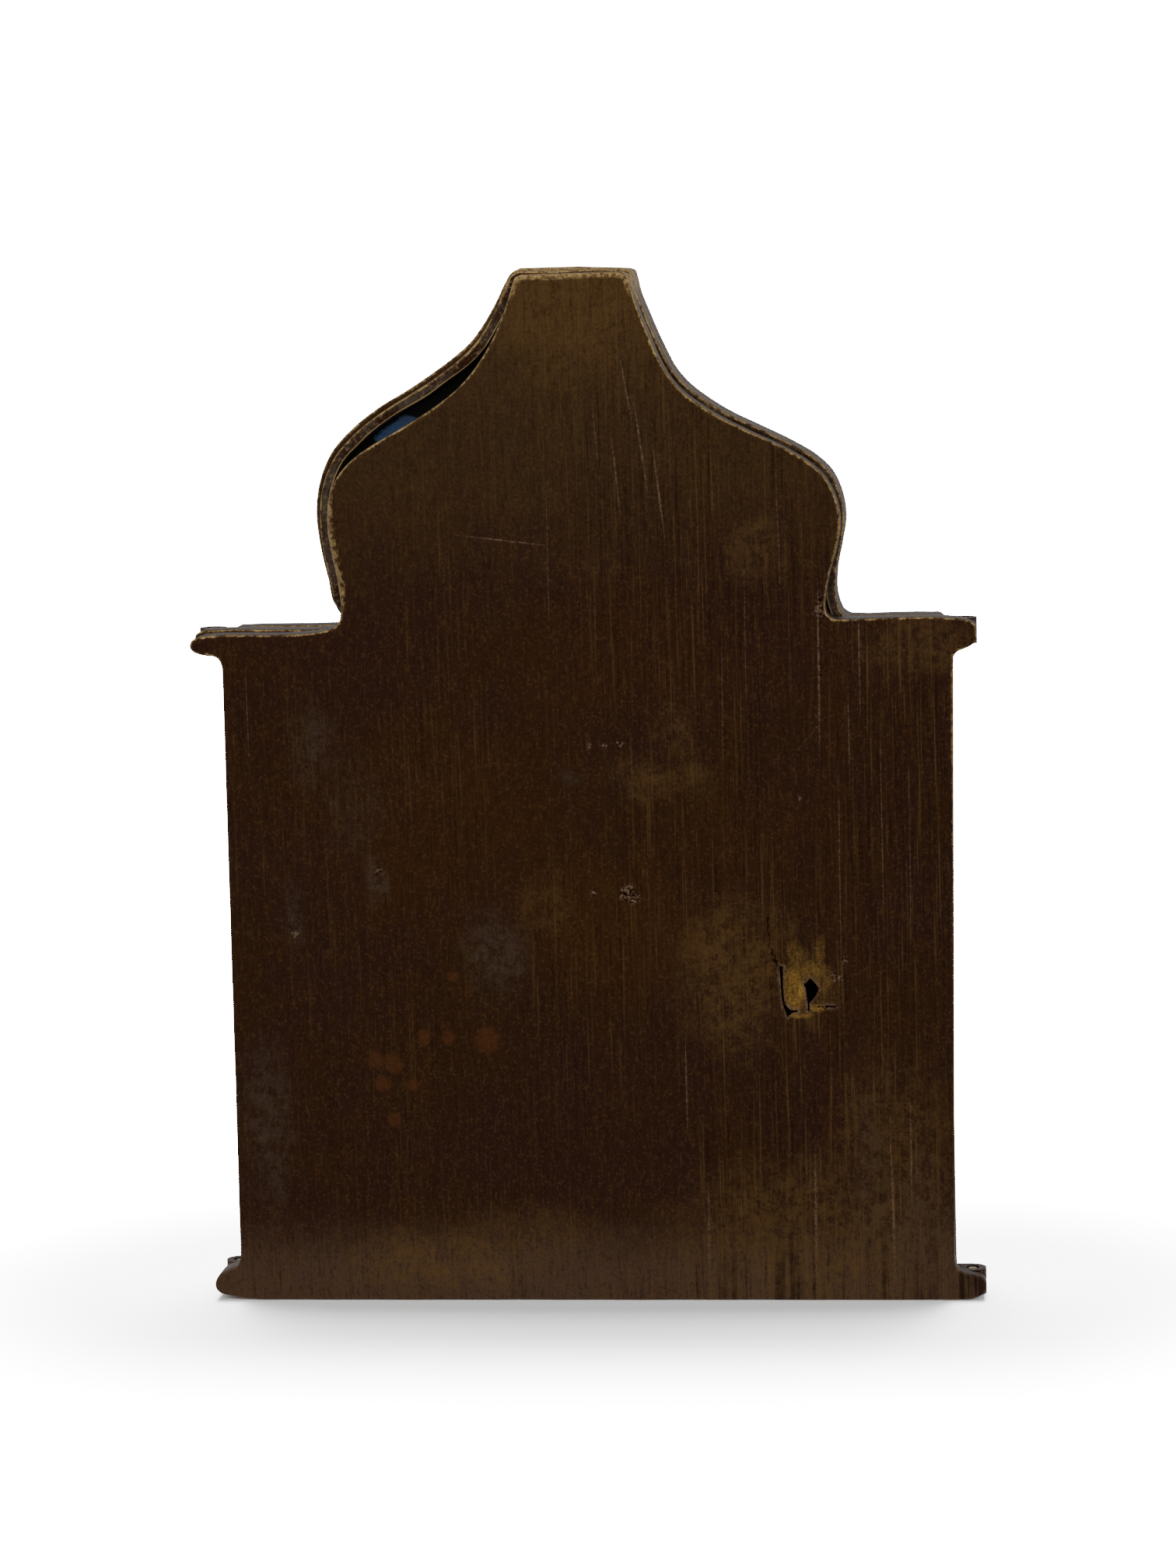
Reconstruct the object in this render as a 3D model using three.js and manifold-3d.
import * as THREE from 'three';
import { mergeVertices } from 'three/addons/utils/BufferGeometryUtils.js';
import Module from 'manifold-3d';

// Travel triptych icon: three cast brass leaves of one width, hinged at their sides and folded
// into a flat stack that stands on its lower edges. Millimetres, +Z up, +X to the right of the
// near leaf's plain back, which faces -Y. The origin is under the middle of the stack.

// Leaf plates
const leafThickness = 4.0;
const leafGap = 0.3; // play between two folded leaves
const bodyHalfWidth = 47.0;
const shoulderHeight = 89.0;
const neckHalfWidth = 31.2;
const ogeeHeight = 45.0; // from the shoulder to the flat tip
const bulgeShare = 0.27; // height of the widest point, as a share of the ogee
const tipHalfWidth = 7.6;
const cornerRadius = 1.2; // at the tip's two corners and in the notch beside the neck
const curveSteps = 6; // straight stretches in each curve of the ogee

// Each leaf was filed to shape by hand, so its two sides differ: the half-width of the bulge,
// and how far the slope above it swells beyond the leanest one. Left and right as in the world.
const leafShapes = {
  near_leaf: { left: { bulge: 32.4, swell: 0.5 }, right: { bulge: 33.9, swell: 0 }, rise: 0 },
  middle_leaf: { left: { bulge: 34.6, swell: 3.4 }, right: { bulge: 34.3, swell: 0.4 }, rise: 0.4 },
  far_leaf: { left: { bulge: 35.5, swell: 4.4 }, right: { bulge: 34.6, swell: 0.6 }, rise: 0.8 },
};

// Fronts: a raised rim around a sunk field with bars and figures
const floorThickness = 1.8;
const rimWidth = 1.4;
const barWidth = 2.0;
const barHeight = 1.7; // above the field
const figureHeight = 29.0;
const figureRelief = 1.1;
const figureInset = 2.5; // between the foot of a figure and the bar under it
const archRadius = 18.5;
const archWidth = 1.1;
const archHeight = 0.8;
const medallionRadius = 11.0;
const medallionWidth = 1.3;
const petalLength = 9.0;
const petalWidth = 4.0;
const petalHeight = 0.9;
const rooting = 0.3; // depth to which a raised form reaches into the metal under it

// Hinges: a lug with a knuckle on one leaf, a tongue on the other and a pin through both
const lugLength = 4.0;
const lugHeight = 3.4;
const lugRootRise = 0.8; // how much higher the lug is where it leaves the plate
const lugEndRadius = 0.9;
const hingePlay = 0.3;
const pinRadius = 0.55;
const knuckleRadius = 1.8;
const hingeOffset = lugLength - knuckleRadius; // from the plate's side to the axis
const pinInset = 0.1;

// Casting flaws in the near leaf: a hole, a three-cornered hole and an open crack
const flaws = {
  hole: { x: 29.0, z: 41.3, halfWidth: 0.8, halfHeight: 1.35 },
  notch: { x: 26.2, z: 38.7, halfWidth: 1.1, halfHeight: 0.75 },
  crack: { x: 25.2, bottom: 38.9, top: 44.1, width: 0.36 },
};

const wasm = await Module();
wasm.setup();

// A closed geometry as a solid for joining and cutting.
function solid(geometry) {
  const bare = geometry.index ? geometry.toNonIndexed() : geometry;
  bare.deleteAttribute('normal');
  bare.deleteAttribute('uv');
  const merged = mergeVertices(bare, 1e-4);
  const mesh = new wasm.Mesh({
    numProp: 3,
    vertProperties: new Float32Array(merged.attributes.position.array),
    triVerts: new Uint32Array(merged.index.array),
  });
  return new wasm.Manifold(mesh);
}

function geometryOf(manifold) {
  const { vertProperties, triVerts } = manifold.getMesh();
  const geometry = new THREE.BufferGeometry();
  geometry.setAttribute('position', new THREE.BufferAttribute(vertProperties, 3));
  geometry.setIndex(new THREE.BufferAttribute(triVerts, 1));
  geometry.computeVertexNormals();
  return geometry;
}

// An outline in X and Z made solid from y = front to y = back. A bevel rounds the front edge in.
function prism(points, front, back, bevel = 0) {
  const geometry = new THREE.ExtrudeGeometry(new THREE.Shape(points), {
    depth: back - front - bevel,
    bevelEnabled: bevel > 0,
    bevelThickness: bevel,
    bevelSize: bevel,
    bevelOffset: -bevel,
    bevelSegments: 1,
  });
  geometry.rotateX(Math.PI / 2);
  return solid(geometry.translate(0, back, 0));
}

function box(x0, x1, y0, y1, z0, z1) {
  const geometry = new THREE.BoxGeometry(x1 - x0, y1 - y0, z1 - z0);
  return solid(geometry.translate((x0 + x1) / 2, (y0 + y1) / 2, (z0 + z1) / 2));
}

function uprightCylinder(radius, x, y, z0, z1, sides) {
  const geometry = new THREE.CylinderGeometry(radius, radius, z1 - z0, sides);
  geometry.rotateX(Math.PI / 2);
  return solid(geometry.translate(x, y, (z0 + z1) / 2));
}

const point = (x, z) => new THREE.Vector2(x, z);

function curve(from, controlA, controlB, to) {
  return new THREE.CubicBezierCurve(from, controlA, controlB, to).getPoints(curveSteps);
}

// A quarter of a circle from one angle to another, in degrees.
function arc(centreX, centreZ, radius, fromDegrees, toDegrees, steps = 3) {
  return Array.from({ length: steps + 1 }, (_, i) => {
    const angle = THREE.MathUtils.degToRad(fromDegrees + ((toDegrees - fromDegrees) * i) / steps);
    return point(centreX + radius * Math.cos(angle), centreZ + radius * Math.sin(angle));
  });
}

// The right-hand side of the ogee from the shoulder up to the tip.
function ogeeSide({ bulge, swell }, rise) {
  const top = shoulderHeight + ogeeHeight + rise;
  const lift = (share) => shoulderHeight + ogeeHeight * share;
  const span = bulge - tipHalfWidth;
  const widest = point(bulge, lift(bulgeShare));
  const slope = point(tipHalfWidth + 0.66 * span + 0.5 * swell, lift(0.52) + 0.86 * swell);
  const flare = point(tipHalfWidth + 0.15 * span + 0.65 * swell, lift(0.74) + 0.38 * swell);
  const tipSide = tipHalfWidth + 0.35 * swell;
  const notch = arc(neckHalfWidth + cornerRadius, shoulderHeight + cornerRadius, cornerRadius, 270, 180, 2);
  const neckTop = notch[notch.length - 1];
  return [
    ...notch,
    ...curve(neckTop, point(neckHalfWidth + 0.5, lift(0.12)), point(bulge, lift(0.18)), widest).slice(1),
    ...curve(
      widest,
      point(bulge, lift(bulgeShare) + 0.14 * ogeeHeight + 0.5 * swell),
      point(slope.x + 0.2 * span, slope.y - 0.058 * ogeeHeight),
      slope,
    ).slice(1),
    ...curve(
      slope,
      point(slope.x - 0.23 * span, slope.y + 0.067 * ogeeHeight),
      point(flare.x + 0.08 * span, flare.y - 0.1 * ogeeHeight),
      flare,
    ).slice(1),
    ...curve(
      flare,
      point(flare.x - 0.05 * span, flare.y + 0.066 * ogeeHeight),
      point(tipSide + 0.04 * span, top - 0.12 * ogeeHeight),
      point(tipSide, top - cornerRadius),
    ).slice(1),
    ...arc(tipSide - cornerRadius, top - cornerRadius, cornerRadius, 0, 90).slice(1),
  ];
}

const mirrored = (points) => points.map((p) => point(-p.x, p.y)).reverse();

// The outline of a leaf without its lugs, anticlockwise from the lower left.
function leafOutline({ left, right, rise }) {
  return [
    point(-bodyHalfWidth, 0),
    point(bodyHalfWidth, 0),
    point(bodyHalfWidth, shoulderHeight),
    ...ogeeSide(right, rise),
    ...mirrored(ogeeSide(left, rise)),
    point(-bodyHalfWidth, shoulderHeight),
  ];
}

// The same outline moved inwards by a distance, corner by corner. Points of corners too tight
// for it would land on the far side of each other, so they are dropped.
function inset(points, distance) {
  const count = points.length;
  const moved = points.map((p, i) => {
    const before = p.clone().sub(points[(i + count - 1) % count]).normalize();
    const after = points[(i + 1) % count].clone().sub(p).normalize();
    const normal = point(-before.y - after.y, before.x + after.x).normalize();
    const reach = distance / Math.max(0.5, normal.dot(point(-before.y, before.x)));
    return p.clone().addScaledVector(normal, reach);
  });
  return moved.filter((q) => points.every((p) => p.distanceTo(q) > 0.98 * distance));
}

// Leaf space: X to the right of the front, which faces -Y, and the back at half the thickness.
const frontPlane = -leafThickness / 2;
const backPlane = leafThickness / 2;
const fieldPlane = backPlane - floorThickness;

const raised = (points, height, bevel = 0) => prism(points, fieldPlane - height, fieldPlane + rooting, bevel);

const bar = (x0, x1, z0, z1) => raised([point(x0, z0), point(x1, z0), point(x1, z1), point(x0, z1)], barHeight);

function disc(x, z, radius, height, sides = 10) {
  return raised(arc(x, z, radius, 0, 360, sides).slice(0, -1), height);
}

function ring(x, z, outer, width, height, sides = 16) {
  return disc(x, z, outer, height, sides).subtract(disc(x, z, outer - width, height + rooting, sides));
}

// The upper half of a ring, standing on two short legs.
function arch(x, springing, outer, width, height, legs) {
  const outerArc = arc(x, springing, outer, 0, 180, 10);
  const innerArc = arc(x, springing, outer - width, 180, 0, 10);
  const foot = springing - legs;
  return raised([
    point(x + outer, foot),
    ...outerArc,
    point(x - outer, foot),
    point(x - outer + width, foot),
    ...innerArc,
    point(x + outer - width, foot),
  ], height);
}

// A standing robed figure with a halo, in shares of its own height.
function figure(x, foot, height) {
  const at = (u, v) => point(x + u * height, foot + v * height);
  const robe = [
    at(-0.15, 0), at(0.15, 0), at(0.135, 0.3), at(0.165, 0.6), at(0.125, 0.78),
    at(0.04, 0.84), at(-0.04, 0.84), at(-0.125, 0.78), at(-0.165, 0.6), at(-0.135, 0.3),
  ];
  const head = new THREE.SphereGeometry(0.068 * height, 8, 5);
  head.scale(0.85, 0.7, 1).translate(x, fieldPlane - 0.5 * figureRelief, foot + 0.905 * height);
  const folds = [-0.075, 0.075].map((u) => raised([
    at(u - 0.012, 0.01), at(u + 0.012, 0.01), at(0.6 * u + 0.008, 0.46), at(0.6 * u - 0.008, 0.46),
  ], 1.25 * figureRelief));
  const arms = [-1, 1].map((side) => raised([
    at(side * 0.15, 0.5), at(side * 0.01, 0.585), at(side * 0.02, 0.635), at(side * 0.155, 0.58),
  ], 1.35 * figureRelief));
  return wasm.Manifold.union([
    disc(x, foot + 0.905 * height, 0.125 * height, 0.5 * figureRelief),
    raised(robe, figureRelief, 0.35 * figureRelief),
    solid(head),
    ...folds,
    ...arms,
  ]);
}

// A pointed petal leaning away from the upright by an angle.
function petal(x, z, degrees) {
  const turn = THREE.MathUtils.degToRad(degrees);
  const along = point(Math.sin(turn), Math.cos(turn));
  const across = point(along.y, -along.x);
  const at = (u, v) => point(x, z).addScaledVector(across, u * petalWidth).addScaledVector(along, v * petalLength);
  return raised([at(0, 0), at(0.38, 0.3), at(0.42, 0.55), at(0, 1), at(-0.42, 0.55), at(-0.38, 0.3)], petalHeight);
}

// The four panels of the body hold one or two figures each under an arch, the ogee a medallion.
function frontRelief(figureCounts) {
  const panelWidth = bodyHalfWidth - rimWidth - barWidth / 2;
  const ledge = shoulderHeight - barWidth; // the bar between the body and the ogee
  const midHeight = ledge / 2;
  const forms = [
    bar(-barWidth / 2, barWidth / 2, rimWidth - rooting, ledge + rooting),
    bar(-bodyHalfWidth + rooting, bodyHalfWidth - rooting, midHeight - barWidth / 2, midHeight + barWidth / 2),
    bar(-bodyHalfWidth + rooting, bodyHalfWidth - rooting, ledge, shoulderHeight),
  ];
  const panelFeet = [midHeight + barWidth / 2, midHeight + barWidth / 2, rimWidth, rimWidth];
  figureCounts.forEach((count, i) => {
    const centre = (i % 2 === 0 ? -1 : 1) * (barWidth + panelWidth) / 2;
    const foot = panelFeet[i] + figureInset;
    const springing = panelFeet[i] + midHeight - barWidth - archRadius;
    forms.push(arch(centre, springing, archRadius, archWidth, archHeight, springing - panelFeet[i] + rooting));
    for (let n = 0; n < count; n += 1) {
      const spread = (n - (count - 1) / 2) * figureHeight * 0.46;
      forms.push(figure(centre + spread, foot, figureHeight * (count === 1 ? 1.12 : 1)));
    }
  });
  const medallionHeight = shoulderHeight + barWidth / 2 + medallionRadius;
  forms.push(ring(0, medallionHeight, medallionRadius, medallionWidth, archHeight));
  forms.push(figure(0, medallionHeight - 0.82 * medallionRadius, 1.5 * medallionRadius));
  for (const degrees of [-42, 0, 42]) {
    const turn = THREE.MathUtils.degToRad(degrees);
    const reach = medallionRadius + 1.5;
    forms.push(petal(reach * Math.sin(turn), medallionHeight + reach * Math.cos(turn), degrees));
  }
  return wasm.Manifold.union(forms);
}

// The side view of a lug: full height at its root, rounded at its end, on a side of the leaf.
function lug(side, top, y0, y1) {
  const end = bodyHalfWidth + lugLength;
  const outline = [
    point(bodyHalfWidth - rooting, 0),
    ...arc(end - lugEndRadius, lugEndRadius, lugEndRadius, 270, 360),
    ...arc(end - lugEndRadius, lugHeight - lugEndRadius, lugEndRadius, 0, 80),
    point(bodyHalfWidth + 0.25 * lugLength, lugHeight + 0.4 * lugRootRise),
    point(bodyHalfWidth, lugHeight + lugRootRise),
    point(bodyHalfWidth - rooting, lugHeight + lugRootRise),
  ];
  const upright = top ? outline.map((p) => point(p.x, shoulderHeight - p.y)).reverse() : outline;
  return prism(side > 0 ? upright : mirrored(upright), y0, y1);
}

// Heights between which one half of a hinge lies, turned over for the upper lug.
const levels = (low, high, top) => (top ? [shoulderHeight - high, shoulderHeight - low] : [low, high]);
const knuckleTop = (lugHeight - hingePlay) / 2;
const axisX = bodyHalfWidth + hingeOffset;
const axisPlay = leafGap / 2; // from the axis to the face of either leaf

// The knuckle side: the lug is whole away from the partner and half as high next to it.
function addKnuckle(leaf, side, partner, top) {
  const face = partner * leafThickness / 2;
  const axisY = face + partner * axisPlay;
  const step = axisY - partner * (knuckleRadius + hingePlay);
  const end = bodyHalfWidth + lugLength + 1;
  const [z0, z1] = levels(knuckleTop, lugHeight + lugRootRise + 1, top);
  const pocket = box(
    Math.min(side * bodyHalfWidth, side * end), Math.max(side * bodyHalfWidth, side * end),
    Math.min(step, face + partner), Math.max(step, face + partner), z0, z1,
  );
  const [k0, k1] = levels(0, knuckleTop, top);
  return leaf
    .add(lug(side, top, frontPlane, backPlane))
    .subtract(pocket)
    .add(uprightCylinder(knuckleRadius, side * axisX, axisY, k0, k1, 16))
    .subtract(uprightCylinder(pinRadius + hingePlay, side * axisX, axisY, k0 - 1, k1 + 1, 12));
}

// The tongue side: a flat eye on a short arm, in the half of the height that the knuckle leaves.
function addTongue(leaf, side, partner, top) {
  const face = partner * leafThickness / 2;
  const axisY = face + partner * axisPlay;
  const deep = axisY - partner * knuckleRadius;
  const [z0, z1] = levels(knuckleTop + hingePlay, lugHeight, top);
  const root = bodyHalfWidth - rooting;
  const arm = box(
    Math.min(side * root, side * axisX), Math.max(side * root, side * axisX),
    Math.min(face, deep), Math.max(face, deep), z0, z1,
  );
  return leaf
    .add(arm)
    .add(uprightCylinder(knuckleRadius, side * axisX, axisY, z0, z1, 16))
    .subtract(uprightCylinder(pinRadius + hingePlay, side * axisX, axisY, z0 - 1, z1 + 1, 12));
}

// The flaws run right through the floor of the near leaf. Their places are given in the world.
function cutFlaws(leaf) {
  const { hole, notch, crack } = flaws;
  const through = (points) => prism(mirrored(points), frontPlane - 1, backPlane + 1);
  const oval = Array.from({ length: 9 }, (_, i) => {
    const angle = (i / 9) * 2 * Math.PI;
    const ragged = 1 + 0.12 * Math.sin(5 * angle + 1);
    return point(
      hole.x + hole.halfWidth * ragged * Math.cos(angle),
      hole.z + hole.halfHeight * ragged * Math.sin(angle),
    );
  });
  const corner = [
    point(notch.x - notch.halfWidth, notch.z - notch.halfHeight),
    point(notch.x + notch.halfWidth, notch.z - 0.2 * notch.halfHeight),
    point(notch.x - 0.8 * notch.halfWidth, notch.z + notch.halfHeight),
  ];
  const slit = [
    point(crack.x - crack.width / 2, crack.bottom),
    point(crack.x + crack.width / 2, crack.bottom),
    point(crack.x, crack.top),
    point(crack.x - crack.width, crack.top),
  ];
  return leaf.subtract(through(oval)).subtract(through(corner)).subtract(through(slit));
}

// A leaf before its hinges. The near and far leaves are turned about, so their sides swap.
function plate(shape, turned, figureCounts) {
  const seen = turned ? { left: shape.right, right: shape.left, rise: shape.rise } : shape;
  const outline = leafOutline(seen);
  const field = prism(inset(outline, rimWidth), frontPlane - 1, fieldPlane);
  const relief = frontRelief(figureCounts).intersect(prism(inset(outline, 0.5 * rimWidth), frontPlane, backPlane));
  return prism(outline, frontPlane, backPlane).subtract(field).add(relief);
}

const patinatedBrass = new THREE.MeshStandardMaterial({ color: 0x3a2413, roughness: 0.55, metalness: 0.8 });
const wornBrass = new THREE.MeshStandardMaterial({ color: 0x8a6a35, roughness: 0.45, metalness: 0.9 });

const group = new THREE.Group();

function addMesh(name, manifold, material, y = 0, turned = false) {
  const mesh = new THREE.Mesh(geometryOf(manifold), material);
  mesh.name = name;
  mesh.position.y = y;
  mesh.rotation.z = turned ? Math.PI : 0;
  group.add(mesh);
}

const leafPitch = leafThickness + leafGap;

// Near leaf: front towards the middle leaf. Its knuckles are at the world's right, its spare
// lugs at the left, which are the other way about in its own turned space.
let nearLeaf = plate(leafShapes.near_leaf, true, [2, 1, 2, 1]);
for (const top of [false, true]) {
  nearLeaf = nearLeaf.add(lug(1, top, frontPlane, backPlane));
  nearLeaf = addKnuckle(nearLeaf, -1, -1, top);
}
addMesh('near_leaf', cutFlaws(nearLeaf), patinatedBrass, -leafPitch, true);

// Middle leaf: tongues for the near leaf at the right, knuckles for the far leaf at the left.
let middleLeaf = plate(leafShapes.middle_leaf, false, [1, 1, 2, 2]);
for (const top of [false, true]) {
  middleLeaf = addTongue(middleLeaf, 1, -1, top);
  middleLeaf = addKnuckle(middleLeaf, -1, 1, top);
}
addMesh('middle_leaf', middleLeaf, patinatedBrass);

// Far leaf: back against the middle leaf's back, tongues at the world's left.
let farLeaf = plate(leafShapes.far_leaf, true, [1, 2, 1, 2]);
for (const top of [false, true]) farLeaf = addTongue(farLeaf, 1, 1, top);
addMesh('far_leaf', farLeaf, patinatedBrass, leafPitch, true);

// One pin at each corner, on the two hinge axes.
for (const [hinge, side, y] of [['near', 1, -leafPitch / 2], ['far', -1, leafPitch / 2]]) {
  for (const top of [false, true]) {
    const [z0, z1] = levels(pinInset, lugHeight - pinInset, top);
    const name = `${hinge}_${top ? 'upper' : 'lower'}_pin`;
    addMesh(name, uprightCylinder(pinRadius, side * axisX, y, z0, z1, 12), wornBrass);
  }
}

export default group;
